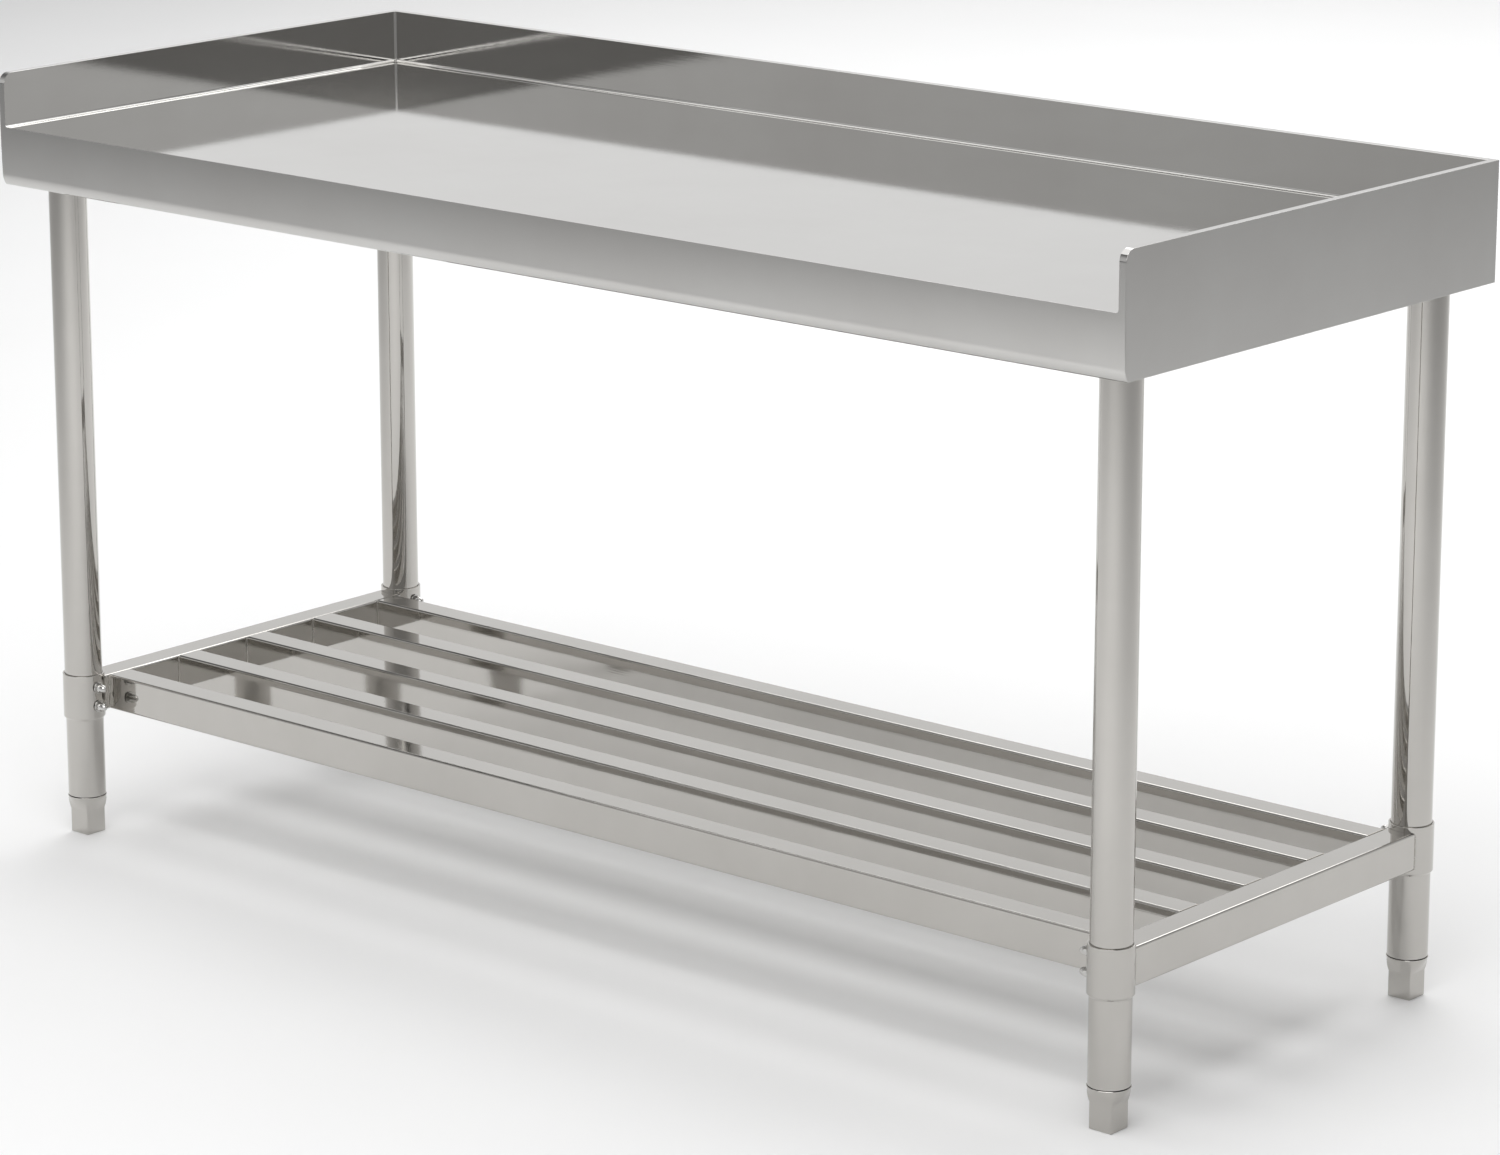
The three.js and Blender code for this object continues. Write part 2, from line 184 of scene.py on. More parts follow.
def stainless(name, tones, polish, grain, grain_depth, wave):
    material, tree, shader = new_material(name)
    lines = noise(tree, GRAIN_ALONG[grain], 6.0, 4.0, 0.6)
    smears = noise(tree, EVEN, 4.0, 5.0, 0.65)
    waves = noise(tree, EVEN, 2.2, 1.0)
    shader.inputs["Metallic"].default_value = 1.0
    tone = blend_colours(tree, ramp(tree, smears, 0, 1), *tones)
    tree.links.new(tone, shader.inputs["Base Color"])
    grain_rough = ramp(tree, lines, polish * 0.75, polish * 1.25)
    smear_rough = ramp(tree, smears, 0, HAZE, 0.45, 0.75)
    total = add_node(tree, "ShaderNodeMath", {0: grain_rough, 1: smear_rough}, operation="ADD")
    tree.links.new(total.outputs[0], shader.inputs["Roughness"])
    wavy = bump(tree, waves, wave, WAVE_HEIGHT)
    tree.links.new(bump(tree, lines, grain_depth, GRAIN_HEIGHT, wavy), shader.inputs["Normal"])
    return material


print("grain is stretched", round(GRAIN_ALONG["x"][1] / GRAIN_ALONG["x"][0]), "times")

# %% [markdown]
# ## One finish for each kind of piece
# A single steel for everything would be simpler, but a maker polishes sheet, tube and fittings on
# different machines. So each kind of piece gets its own polish. In each row the first number is the
# roughness, lower for a sharper mirror. The letter is the way the grain runs, and the last two numbers
# are how deep the grain is and how much the surface waves.

# %% Steel finishes
FINISH = {
    "worktop": stainless("polished_sheet", SHEET_TONES, 0.045, "x", 0.05, 0.015),
    "channel": stainless("mill_sheet", SHEET_TONES, 0.28, "y", 0.3, 0.05),
    # The tube, leg, collar and fitting rows take the darker tube tones, painted shade for their place under
    # the top.
    "tube_x": stainless("polished_tube_x", SHADED_TUBE_TONES, 0.05, "x", 0.06, 0.06),
    "tube_y": stainless("polished_tube_y", SHADED_TUBE_TONES, 0.05, "y", 0.06, 0.06),
    "leg": stainless("polished_leg", SHADED_TUBE_TONES, 0.04, "z", 0.05, 0.03),
    "collar": stainless("polished_collar", SHADED_TUBE_TONES, 0.06, "z", 0.06, 0.03),
    "fitting": stainless("satin_fitting", SHADED_TUBE_TONES, 0.14, "z", 0.15, 0.03),
    "screw": stainless("bright_screw", SHEET_TONES, 0.14, "x", 0.15, 0.02),
}
print("steel finishes:", ", ".join(FINISH))

# %% [markdown]
# ## Weld, board and nylon
# A dressed weld is steel too, only duller and with a trace of straw colour from the heat. The backing board
# is chipboard with a grey facing, and its cut edges still show the chips. The board could have two
# materials, one for faces and one for edges, but one that asks whether the surface lies level needs no
# sorting of faces. A Voronoi pattern gives each chip a flat brown of its own. The plugs in the legs are
# moulded nylon, nearly black, with a fine pebble from the mould.

# %% Weld, board and nylon
def weld_metal():
    material, tree, shader = new_material("dressed_weld")
    patches = noise(tree, EVEN, 90.0, 3.0)
    shader.inputs["Metallic"].default_value = 1.0
    tone = blend_colours(tree, ramp(tree, patches, 0, 1), (0.56, 0.55, 0.52), (0.47, 0.45, 0.41))
    tree.links.new(tone, shader.inputs["Base Color"])
    tree.links.new(ramp(tree, patches, 0.22, 0.4), shader.inputs["Roughness"])
    tree.links.new(bump(tree, noise(tree, EVEN, 400.0), 0.3, 0.3 * MM), shader.inputs["Normal"])
    return material


def faced_board():
    material, tree, shader = new_material("grey_faced_chipboard")
    place = add_node(tree, "ShaderNodeTexCoord")
    chips = add_node(tree, "ShaderNodeTexVoronoi", {"Vector": place.outputs["Object"], "Scale": 220.0})
    split = add_node(tree, "ShaderNodeSeparateColor", {"Color": chips.outputs["Color"]})
    chip_tone = blend_colours(tree, split.outputs[0], (0.62, 0.45, 0.27), (0.36, 0.24, 0.13))
    pebble = noise(tree, EVEN, 260.0, 2.0)
    face_tone = blend_colours(tree, ramp(tree, pebble, 0, 1), (0.47, 0.47, 0.46), (0.41, 0.41, 0.40))
    level = add_node(tree, "ShaderNodeSeparateXYZ", {0: place.outputs["Normal"]})
    tilt = add_node(tree, "ShaderNodeMath", {0: level.outputs["Z"]}, operation="ABSOLUTE")
    faced = ramp(tree, tilt.outputs[0], 0, 1, 0.4, 0.6)
    tone = add_node(tree, "ShaderNodeMix", {0: faced, 6: chip_tone, 7: face_tone}, data_type="RGBA")
    tree.links.new(tone.outputs[2], shader.inputs["Base Color"])
    tree.links.new(ramp(tree, faced, 0.85, 0.5, 0, 1), shader.inputs["Roughness"])
    tree.links.new(bump(tree, pebble, 0.3, 0.4 * MM), shader.inputs["Normal"])
    return material


def nylon():
    material, tree, shader = new_material("moulded_nylon")
    pebble = noise(tree, EVEN, 900.0, 2.0)
    tone = blend_colours(tree, pebble, (0.018, 0.018, 0.02), (0.035, 0.035, 0.038))
    tree.links.new(tone, shader.inputs["Base Color"])
    tree.links.new(ramp(tree, pebble, 0.42, 0.58), shader.inputs["Roughness"])
    tree.links.new(bump(tree, pebble, 0.25, 0.3 * MM), shader.inputs["Normal"])
    return material


FINISH.update(weld=weld_metal(), board=faced_board(), nylon=nylon())
print("finishes in all:", len(FINISH))

# %% [markdown]
# ## From mesh to piece
# Every piece ends the same way: its mesh becomes an object, faces are shaded smooth except across real
# edges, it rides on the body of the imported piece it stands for, and that plain piece is hidden. Smooth
# shading alone would make large flat faces look swollen beside a small rounded edge, so a weighted
# normal modifier lets the large faces decide the shading and keeps them flat.

# %% Finish a piece
SHARP_ANGLE = math.radians(32)


def finish_piece(name, mesh_data, finish, body, stands_for=()):
    bmesh.ops.recalc_face_normals(mesh_data, faces=mesh_data.faces)
    mesh = bpy.data.meshes.new(name)
    mesh_data.to_mesh(mesh)
    mesh_data.free()
    mesh.polygons.foreach_set("use_smooth", [True] * len(mesh.polygons))
    mesh.set_sharp_from_angle(angle=SHARP_ANGLE)
    mesh.materials.append(FINISH[finish])
    piece = bpy.data.objects.new(name, mesh)
    bpy.context.scene.collection.objects.link(piece)
    even = piece.modifiers.new("even_flats", "WEIGHTED_NORMAL")
    even.keep_sharp = True
    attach(piece, body)
    if stands_for:
        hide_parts(*stands_for)
    return piece


def stand_for(node, mesh_data, finish):
    name = f"{node}_finished"
    return finish_piece(name, mesh_data, finish, BODY_OF[node], (node,))


print("pieces can be finished")

# %% [markdown]
# ## Folded sheet and tube
# Sheet bent on a press has a soft outside corner, never a knife edge, and that thin rounded line is what
# catches the light. A bevel modifier would round every edge alike, tiny cut edges too. We copy the packed
# piece, merge its flat triangles into whole faces, and bevel in the mesh itself, where a test on each
# edge says whether it is a real fold and a caller may add a test of its own.

# %% Folded pieces
FLAT_ANGLE = math.radians(0.6)
FOLD_ANGLE = math.radians(40)
FOLD_STEPS = 4
SAME_SPOT = 1e-6


def packed_copy(node):
    copy = bmesh.new()
    copy.from_mesh(frame["nodes"][node].data)
    bmesh.ops.remove_doubles(copy, verts=copy.verts, dist=SAME_SPOT)
    bmesh.ops.dissolve_limit(copy, angle_limit=FLAT_ANGLE, verts=copy.verts, edges=copy.edges)
    return copy


def round_edges(copy, radius, wanted=None):
    edges = [
        edge for edge in copy.edges
        if len(edge.link_faces) == 2 and edge.calc_face_angle() > FOLD_ANGLE
        and (wanted is None or wanted(edge))
    ]
    bmesh.ops.bevel(
        copy, geom=edges, offset=radius, offset_type="OFFSET", segments=FOLD_STEPS, profile=0.5,
        affect="EDGES", clamp_overlap=True,
    )
    return len(edges)


def folded(node, finish, radius):
    copy = packed_copy(node)
    count = round_edges(copy, radius)
    piece = stand_for(node, copy, finish)
    print(node, "edges rounded:", count, "faces:", len(piece.data.polygons))


print("a fold is rounded in", FOLD_STEPS, "steps")

# %% [markdown]
# ## The worktop's folds
# The top is one sheet: a flat floor, a splash folded up and doubled over on three sides, and an apron in
# front that curls under. The outside folds have the radius of a press brake. The two upright corners
# inside the splash are welded and dressed, so they are wider. The edges could be picked by hand, but
# two tests find them by where they lie, and they keep working if the size changes.

# %% Worktop edges
FOLD_RADIUS = 1.6 * MM
CORNER_RADIUS = 3.2 * MM
SPLASH = 8 * MM
ON_FACE = 0.4 * MM
BESIDE = 1 * MM
UPRIGHT = 0.99
top_low, top_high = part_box("worktop")
WORK_SURFACE = next(mount for mount in RECORD["mounts"] if mount["name"] == "work_surface")
FLOOR_LEVEL = WORK_SURFACE["pos_m"][2]


def on_outside(edge):
    middle = (edge.verts[0].co + edge.verts[1].co) / 2
    on_side = abs(middle.x) > top_high.x - ON_FACE
    on_end = middle.y > top_high.y - ON_FACE or middle.y < top_low.y + ON_FACE
    on_top = middle.z > top_high.z - ON_FACE
    return on_side or on_end or on_top


def in_corner(edge):
    middle = (edge.verts[0].co + edge.verts[1].co) / 2
    upright = abs((edge.verts[0].co - edge.verts[1].co).normalized().z) > UPRIGHT
    beside_end = abs(abs(middle.x) - (top_high.x - SPLASH)) < BESIDE
    beside_rear = abs(middle.y - (top_high.y - SPLASH)) < BESIDE
    return upright and beside_end and beside_rear and middle.z > FLOOR_LEVEL


top_sheet = packed_copy("worktop")
outside_folds = round_edges(top_sheet, FOLD_RADIUS, on_outside)
corner_welds = round_edges(top_sheet, CORNER_RADIUS, in_corner)
print("outside folds:", outside_folds, "inner corners:", corner_welds)

# %% [markdown]
# ## The apron's bow
# A long apron is never quite upright: the press springs back and the face leans in by a millimetre or two
# towards its lower edge. That small lean decides what the polished face mirrors, so it matters more than
# its size. A tilt would do, but a real one grows towards the bottom. So we cut the face into level strips
# and push each vertex back by the square of its depth below the floor of the tray.

# %% Worktop
APRON_BOW = 1.6 * MM
APRON_STRIPS = 10
APRON_FACE_DEPTH = 8 * MM
APRON_CURL_DEPTH = 20 * MM
FACING_FRONT = 0.9


def bow_apron(sheet):
    """Splits the front face into strips and leans each one a little further back than the last."""
    depth = FLOOR_LEVEL - top_low.z
    for i in range(1, APRON_STRIPS):
        front = [
            face for face in sheet.faces
            if face.calc_center_median().y < top_low.y + APRON_FACE_DEPTH
            and abs(face.normal.y) > FACING_FRONT
        ]
        around = list({part for face in front for part in [face, *face.edges, *face.verts]})
        level = (0, 0, top_low.z + depth * i / APRON_STRIPS)
        bmesh.ops.bisect_plane(sheet, geom=around, plane_co=level, plane_no=(0, 0, 1), dist=SAME_SPOT)
    for vertex in sheet.verts:
        if vertex.co.y < top_low.y + APRON_CURL_DEPTH and vertex.co.z < FLOOR_LEVEL:
            drop = (FLOOR_LEVEL - vertex.co.z) / depth
            vertex.co.y += APRON_BOW * drop ** 2


bow_apron(top_sheet)
worktop = stand_for("worktop", top_sheet, "worktop")
print("apron bow mm:", round(APRON_BOW / MM, 1), "worktop faces:", len(worktop.data.polygons))

# %% [markdown]
# ## Board, channels and shelf tubes
# Under the top lie a chipboard panel and three channels. The shelf is a welded frame of seven rectangular
# tubes. All of them are straight stock cut to length. Each could be drawn again as an extruded outline,
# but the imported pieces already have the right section, so the same rounding does for all of them and only
# the radius differs: wide on the board, small on channel, and nearly sharp on drawn tube.

# %% Straight stock
BOARD_EDGE = 0.8 * MM
CHANNEL_FOLD = 0.6 * MM
TUBE_CORNER = 0.3 * MM
LONG_TUBES = ("front_rail", "rear_rail", "slat_1", "slat_2", "slat_3")

folded("backing_board", "board", BOARD_EDGE)
for side in ("left", "middle", "right"):
    folded(f"cross_channel_{side}", "channel", CHANNEL_FOLD)
for tube in LONG_TUBES:
    folded(f"shelf_{tube}", "tube_x", TUBE_CORNER)
for side in ("left", "right"):
    folded(f"shelf_side_rail_{side}", "tube_y", TUBE_CORNER)

# %% [markdown]
# ## A lathe for round pieces
# Legs, collars, nuts and screws are all turned: an outline of radius and height goes round an axis. A
# screw modifier spins an outline too, but only into true rounds. Our own lathe takes a rule that may
# change the radius with angle and height, which is how a hexagon or a screw thread comes off it. Before
# that, the outline's corners can be rounded with a short curve, since no turned edge is a knife edge.

# %% Lathe
def round_corners(outline, radius, steps=4):
    points = [Vector(p) for p in outline]
    result = [points[0]]
    for before, corner, after in zip(points, points[1:], points[2:]):
        into = before - corner
        out = after - corner
        reach = min(radius, into.length * 0.45, out.length * 0.45)
        start = corner + into.normalized() * reach
        end = corner + out.normalized() * reach
        for i in range(steps + 1):
            t = i / steps
            result.append(start * (1 - t) ** 2 + corner * 2 * t * (1 - t) + end * t ** 2)
    result.append(points[-1])
    return result


def skinned(point_rings, hollow=False):
    """Joins rings of points into one closed skin. hollow joins the last ring to the first."""
    mesh_data = bmesh.new()
    rings = [[mesh_data.verts.new(point) for point in ring] for ring in point_rings]
    pairs = list(zip(rings, rings[1:]))
    if hollow:
        pairs.append((rings[-1], rings[0]))
    for lower, upper in pairs:
        for i in range(len(lower)):
            j = (i + 1) % len(lower)
            mesh_data.faces.new((lower[i], lower[j], upper[j], upper[i]))
    if not hollow:
        mesh_data.faces.new(rings[0])
        mesh_data.faces.new(rings[-1])
    return mesh_data


def turned(outline, foot, axis=(0, 0, 1), segments=96, shape=None, hollow=False):
    """Turns (radius, height) pairs about an axis that starts at foot."""
    rotation = Vector(axis).to_track_quat("Z", "X")
    rings = []
    for radius, height in outline:
        ring = []
        for i in range(segments):
            angle = math.tau * i / segments
            r = shape(angle, radius, height) if shape else radius
            local = Vector((r * math.cos(angle), r * math.sin(angle), height))
            ring.append(Vector(foot) + rotation @ local)
        rings.append(ring)
    return skinned(rings, hollow)


def tube_outline(inner, outer, low, high, edge):
    corners = [(inner, low), (outer, low), (outer, high), (inner, high)]
    middle = ((inner, (low + high) / 2),)
    return round_corners([*middle, *corners, *middle], edge)[:-1]


print("lathe ready")

# %% [markdown]
# ## Legs
# A leg is drawn tube, cut square and lightly deburred, so its ends have a very small radius. A cylinder
# with a solidify modifier would give a wall too, but with knife-edged ends, so it comes off the lathe. Its
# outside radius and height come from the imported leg, and the wall is the stock's 1.2 mm.

# %% Legs
LEG_WALL = 1.2 * MM
LEG_END = 0.4 * MM
CORNER_NAMES = [f"{row}_{side}" for row in ("front", "rear") for side in ("left", "right")]
leg_boxes = {corner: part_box(f"leg_{corner}") for corner in CORNER_NAMES}
LEG_AXIS = {corner: ((low + high) / 2).xy for corner, (low, high) in leg_boxes.items()}
LEG_RADIUS = (leg_boxes["front_left"][1].x - leg_boxes["front_left"][0].x) / 2
INWARD = {corner: Vector((1, 0, 0)) if "left" in corner else Vector((-1, 0, 0)) for corner in CORNER_NAMES}


def on_axis(corner, z):
    return Vector((*LEG_AXIS[corner], z))


for corner, (low, high) in leg_boxes.items():
    outline = tube_outline(LEG_RADIUS - LEG_WALL, LEG_RADIUS, 0, high.z - low.z, LEG_END)
    stand_for(f"leg_{corner}", turned(outline, on_axis(corner, low.z), hollow=True), "leg")
print("leg radius mm:", round(LEG_RADIUS / MM, 2), "length mm:", round((high.z - low.z) / MM, 1))

# %% [markdown]
# ## Clamp collars
# Each end of the shelf frame is welded to a collar, a short sleeve that slides on the leg. Its lower end
# is chamfered all round, and its upper end is only deburred. The dark ring above a collar could be drawn
# on the leg, but it would stay behind when the shelf moves. Leaving the true gap of a third of a
# millimetre between the two turned pieces gives the ring in every position.

# %% Clamp collars
COLLAR_CHAMFER = 2.3 * MM
COLLAR_CLEARANCE = 0.3 * MM
COLLAR_EDGE = 0.35 * MM
for corner in CORNER_NAMES:
    low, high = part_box(f"clamp_collar_{corner}")
    outer = (high.y - low.y) / 2
    inner = LEG_RADIUS + COLLAR_CLEARANCE
    height = high.z - low.z
    edge = [
        (inner, height / 2), (inner, 0), (inner + COLLAR_CLEARANCE, 0), (outer, COLLAR_CHAMFER),
        (outer, height), (inner, height), (inner, height / 2),
    ]
    collar = turned(round_corners(edge, COLLAR_EDGE)[:-1], on_axis(corner, low.z), hollow=True)
    stand_for(f"clamp_collar_{corner}", collar, "collar")
print("collar radius mm:", round(outer / MM, 2), "height mm:", round(height / MM, 1))

# %% [markdown]
# ## Screw threads
# A thread is a ridge that climbs one pitch in one turn. It could be a bump in the material, but its
# outline shows when a foot is screwed out. On the lathe it is a rule for the radius: the ridge's height
# depends on how far the point is from the nearest turn of the helix. Threads are fine, so a triangle wave
# with a few rings for each pitch is enough.

# %% Threads
RINGS_PER_PITCH = 6
STEM_PITCH = 1.5 * MM
CLAMP_PITCH = 1.0 * MM
THREAD_DEPTH = 0.3
POINT_SHARE = 0.75
THREADED_SHARE = 0.8


def threaded(radius, length, pitch):
    depth = pitch * THREAD_DEPTH

    def rule(angle, r, height):
        turns = height / pitch - angle / math.tau
        ridge = abs((turns % 1.0) - 0.5) * 2
        fade = min(1.0, max(0.0, (length - height) / pitch))
        return r - depth * ridge * fade if r > radius * THREADED_SHARE else r

    count = int(length / pitch * RINGS_PER_PITCH)
    rows = [(radius, length * i / count) for i in range(count + 1)]
    point = (radius - depth) * POINT_SHARE
    return [(point, 0), *rows[2:-2], (point, length)], rule


def screw_piece(node, foot, axis, radius, length, pitch, segments):
    outline, rule = threaded(radius, length, pitch)
    stand_for(node, turned(outline, foot, axis, segments, rule), "screw")


def lying_at(corner, low, high):
    """The outer end of a screw or nut that points inward, level with the middle of its box."""
    start = low.x if "left" in corner else high.x
    return Vector((start, LEG_AXIS[corner].y, (low.z + high.z) / 2))


for corner in CORNER_NAMES:
    node = f"foot_stem_{corner}"
    low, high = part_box(node)
    radius = (high.x - low.x) / 2
    screw_piece(node, on_axis(corner, low.z), (0, 0, 1), radius, high.z - low.z, STEM_PITCH, segments=32)
    for level in ("lower", "upper"):
        node = f"clamp_screw_{corner}_{level}"
        low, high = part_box(node)
        foot = lying_at(corner, low, high)
        thread_radius = (high.z - low.z) / 2
        screw_piece(node, foot, INWARD[corner], thread_radius, high.x - low.x, CLAMP_PITCH, segments=24)
print("stem radius mm:", round(radius / MM, 2), "clamp screw radius mm:", round(thread_radius / MM, 2))

# %% [markdown]
# ## Cap nuts
# A cap nut is a hexagon with chamfered corners and a dome that covers the end of the screw. A six-sided
# prism joined to half a ball would leave a hard seam and no chamfer. A real nut is turned first and its
# flats are cut after, so ours is turned from one outline, and in the hexagon's part each point is brought
# in to the flat where the flat is nearer than the turned chamfer. A plain washer lies under the nut.

# %% Cap nuts
ACROSS_FLATS = 9.6 * MM
WASHER_THICKNESS = 1.5 * MM
WASHER_SHARE = 0.96
WASHER_BORE = 3.3 * MM
NUT_BORE = 3.2 * MM
HEX_HEIGHT = 4.4 * MM
LOWER_CHAMFER = 0.7 * MM
UPPER_CHAMFER = 0.9 * MM
DOME_RADIUS = 4.55 * MM
DOME_STEPS = 12


def hexagon_rule(across, low, high):
    def rule(angle, r, height):
        if not low <= height <= high:
            return r
        sixth = math.tau / 6
        flat_at = across / 2 / math.cos((angle % sixth) - sixth / 2)
        return min(r, flat_at)

    return rule


def cap_nut(length):
    corner_radius = ACROSS_FLATS / 2 / math.cos(math.tau / 12)
    hex_top = WASHER_THICKNESS + HEX_HEIGHT
    outline = [
        (NUT_BORE, WASHER_THICKNESS),
        (ACROSS_FLATS / 2 * 0.97, WASHER_THICKNESS),
        (corner_radius, WASHER_THICKNESS + LOWER_CHAMFER),
        (corner_radius, hex_top - UPPER_CHAMFER),
        (DOME_RADIUS, hex_top),
    ]
    dome_height = length - hex_top
    for i in range(1, DOME_STEPS):
        rise = math.pi / 2 * i / DOME_STEPS
        outline.append((DOME_RADIUS * math.cos(rise), hex_top + dome_height * math.sin(rise)))
    return outline, hexagon_rule(ACROSS_FLATS, WASHER_THICKNESS, hex_top)


for corner in CORNER_NAMES:
    for level in ("lower", "upper"):
        node = f"cap_nut_{corner}_{level}"
        low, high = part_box(node)
        foot = lying_at(corner, low, high)
        outline, rule = cap_nut(high.x - low.x)
        stand_for(node, turned(outline, foot, INWARD[corner], 72, rule), "screw")
        washer_edge = (high.z - low.z) / 2
        ring = tube_outline(WASHER_BORE, washer_edge, 0, WASHER_THICKNESS * WASHER_SHARE, 0.3 * MM)
        washer = turned(ring, foot, INWARD[corner], 48, hollow=True)
        finish_piece(f"washer_{corner}_{level}", washer, "screw", BODY_OF[node])
print("nut length mm:", round((high.x - low.x) / MM, 2), "washer radius mm:", round(washer_edge / MM, 2))

# %% [markdown]
# ## The foot's outline
# The foot is a pressed cup: round where it meets the leg, square at the floor so that a spanner can turn
# it. A block joined to a cylinder would show a step where the metal really flows. So the outline is a list
# of rings from the floor up, and each ring has a radius, a height and its own share of square. The share
# is whole at the floor and falls to nothing at the lip. Inside, the cup is turned out for the stem.

# %% Foot outline
SQUARE_HALF = 13 * MM
SQUARE_HEIGHT = 27 * MM
FLOOR_ROUND = 1.0 * MM
FLOOR_ROUND_STEPS = 4
CENTRE_DIMPLE = 0.5 * MM
LIP_HEIGHT = 1.4 * MM
LIP_ROUND = 0.3 * MM
LIP_STEP = 0.5 * MM
TAPER_STEPS = 14
CUP_MOUTH = 18.9 * MM
CUP_BORE = 11.5 * MM
CUP_FLOOR = 28 * MM
STEM_BORE = 5.3 * MM
STEM_SEAT = 8 * MM


def cup_base():
    rows = [(CENTRE_DIMPLE, 0.0, 1.0), (SQUARE_HALF - FLOOR_ROUND - 0.2 * MM, 0.0, 1.0)]
    for i in range(FLOOR_ROUND_STEPS + 1):
        bend = math.pi / 2 * i / FLOOR_ROUND_STEPS
        out = SQUARE_HALF - FLOOR_ROUND + FLOOR_ROUND * math.sin(bend)
        rows.append((out, FLOOR_ROUND * (1 - math.cos(bend)), 1.0))
    return [*rows, (SQUARE_HALF, SQUARE_HEIGHT, 1.0)]


def cup_taper(neck, top):
    rows = []
    for i in range(1, TAPER_STEPS + 1):
        t = i / TAPER_STEPS
        radius = SQUARE_HALF + (neck - SQUARE_HALF) * t
        rows.append((radius, SQUARE_HEIGHT + (top - SQUARE_HEIGHT) * t, 1 - t))
    return rows


def cup_lip_and_bore(lip_radius, height):
    lip_bottom = height - LIP_HEIGHT
    return [
        (lip_radius - LIP_STEP, lip_bottom - 0.2 * MM, 0),
        (lip_radius - 0.1 * MM, lip_bottom, 0),
        (lip_radius, lip_bottom + LIP_ROUND, 0),
        (lip_radius, height - LIP_ROUND, 0),
        (lip_radius - LIP_ROUND, height, 0),
        (CUP_MOUTH, height, 0),
        (CUP_MOUTH - LIP_ROUND, height - LIP_ROUND, 0),
        (CUP_BORE, CUP_FLOOR, 0),
        (STEM_BORE, CUP_FLOOR, 0),
        (STEM_BORE, STEM_SEAT, 0),
        (CENTRE_DIMPLE, STEM_SEAT, 0),
    ]


def foot_cup(lip_radius, height):
    taper = cup_taper(lip_radius - LIP_STEP, height - LIP_HEIGHT - 0.6 * MM)
    return cup_base() + taper + cup_lip_and_bore(lip_radius, height)


print("foot half width mm:", round(SQUARE_HALF / MM, 1), "square height mm:", round(SQUARE_HEIGHT / MM, 1))

# %% [markdown]
# ## Feet
# A square with rounded corners has a formula much like a circle's, only with a high power in place of two:
# the higher the power, the tighter the corners. That gives the reach of the square in any direction, and
# each ring moves from the circle towards it by its share. Morphing two meshes would need matching vertices
# in both, but one formula always matches itself.

# %% Feet
CORNER_POWER = 80


def square_reach(angle):
    across, along = abs(math.cos(angle)), abs(math.sin(angle))
    return (across ** CORNER_POWER + along ** CORNER_POWER) ** (-1 / CORNER_POWER)


def square_foot(rows, foot, segments=96):
    """Turns the cup's rows, stretching each ring towards the square by its own share."""
    rings = []
    for radius, height, share in rows:
        ring = []
        for i in range(segments):
            angle = math.tau * i / segments
            reach = radius * (1 + share * (square_reach(angle) - 1))
            ring.append(foot + Vector((reach * math.cos(angle), reach * math.sin(angle), height)))
        rings.append(ring)
    return skinned(rings)


for corner in CORNER_NAMES:
    node = f"foot_cup_{corner}"
    low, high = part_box(node)
    rows = foot_cup((high.x - low.x) / 2, high.z - low.z)
    stand_for(node, square_foot(rows, on_axis(corner, low.z)), "fitting")
print("foot height mm:", round((high.z - low.z) / MM, 1), "rings:", len(rows))

# %% [markdown]
# ## Leg sockets
# A socket is a deep cap welded inside a channel, and the leg pushes up into it. It is out of sight from the
# front, but anyone who turns the table over meets it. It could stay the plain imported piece, with hard
# edges. Turning it again costs a few lines, and its rounded mouth then looks like the pressing it is.

# %% Leg sockets
SOCKET_TOP = 3.8 * MM
SOCKET_MOUTH = 1.5 * MM
SOCKET_MOUTH_HEIGHT = 3 * MM
SOCKET_EDGE = 0.6 * MM
CENTRE_HOLE = 1 * MM
for corner in CORNER_NAMES:
    node = f"leg_socket_{corner}"
    low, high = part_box(node)
    outer = (high.y - low.y) / 2
    inner = LEG_RADIUS + COLLAR_CLEARANCE
    tall = high.z - low.z
    edge = [
        (CENTRE_HOLE, tall - SOCKET_TOP), (inner, tall - SOCKET_TOP), (inner, 0),
        (outer - SOCKET_MOUTH, 0), (outer, SOCKET_MOUTH_HEIGHT), (outer, tall), (CENTRE_HOLE, tall),
    ]
    stand_for(node, turned(round_corners(edge, SOCKET_EDGE), on_axis(corner, low.z)), "fitting")
print("socket radius mm:", round(outer / MM, 1))

# %% [markdown]
# ## Set screws
# A set screw with a hexagon head holds each leg in its socket. Its shank and its head could be two
# joined pieces, but a real one is forged from one bar. One outline gives both, and the cap nut's hexagon
# rule cuts flats on the head alone.

# %% Set screws
HEAD_HEIGHT = 5 * MM
HEAD_FLATS = 13 * MM
HEAD_CORNER = HEAD_FLATS / 2 * 1.15
HEAD_FACE = HEAD_FLATS / 2 * 0.93
SHANK_RADIUS = 4 * MM


def set_screw(length):
    head = length - HEAD_HEIGHT
    return [
        (SHANK_RADIUS * 0.8, 0), (SHANK_RADIUS, 0.5 * MM), (SHANK_RADIUS, head), (HEAD_FLATS / 2, head),
        (HEAD_CORNER, head + 0.5 * MM), (HEAD_CORNER, length - UPPER_CHAMFER), (HEAD_FACE, length),
    ]


for corner in CORNER_NAMES:
    node = f"socket_screw_{corner}"
    low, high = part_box(node)
    length = high.x - low.x
    rule = hexagon_rule(HEAD_FLATS, length - HEAD_HEIGHT, length)
    screw = turned(set_screw(length), lying_at(corner, low, high), INWARD[corner], 72, rule)
    stand_for(node, screw, "screw")
print("set screw length mm:", round(length / MM, 1))

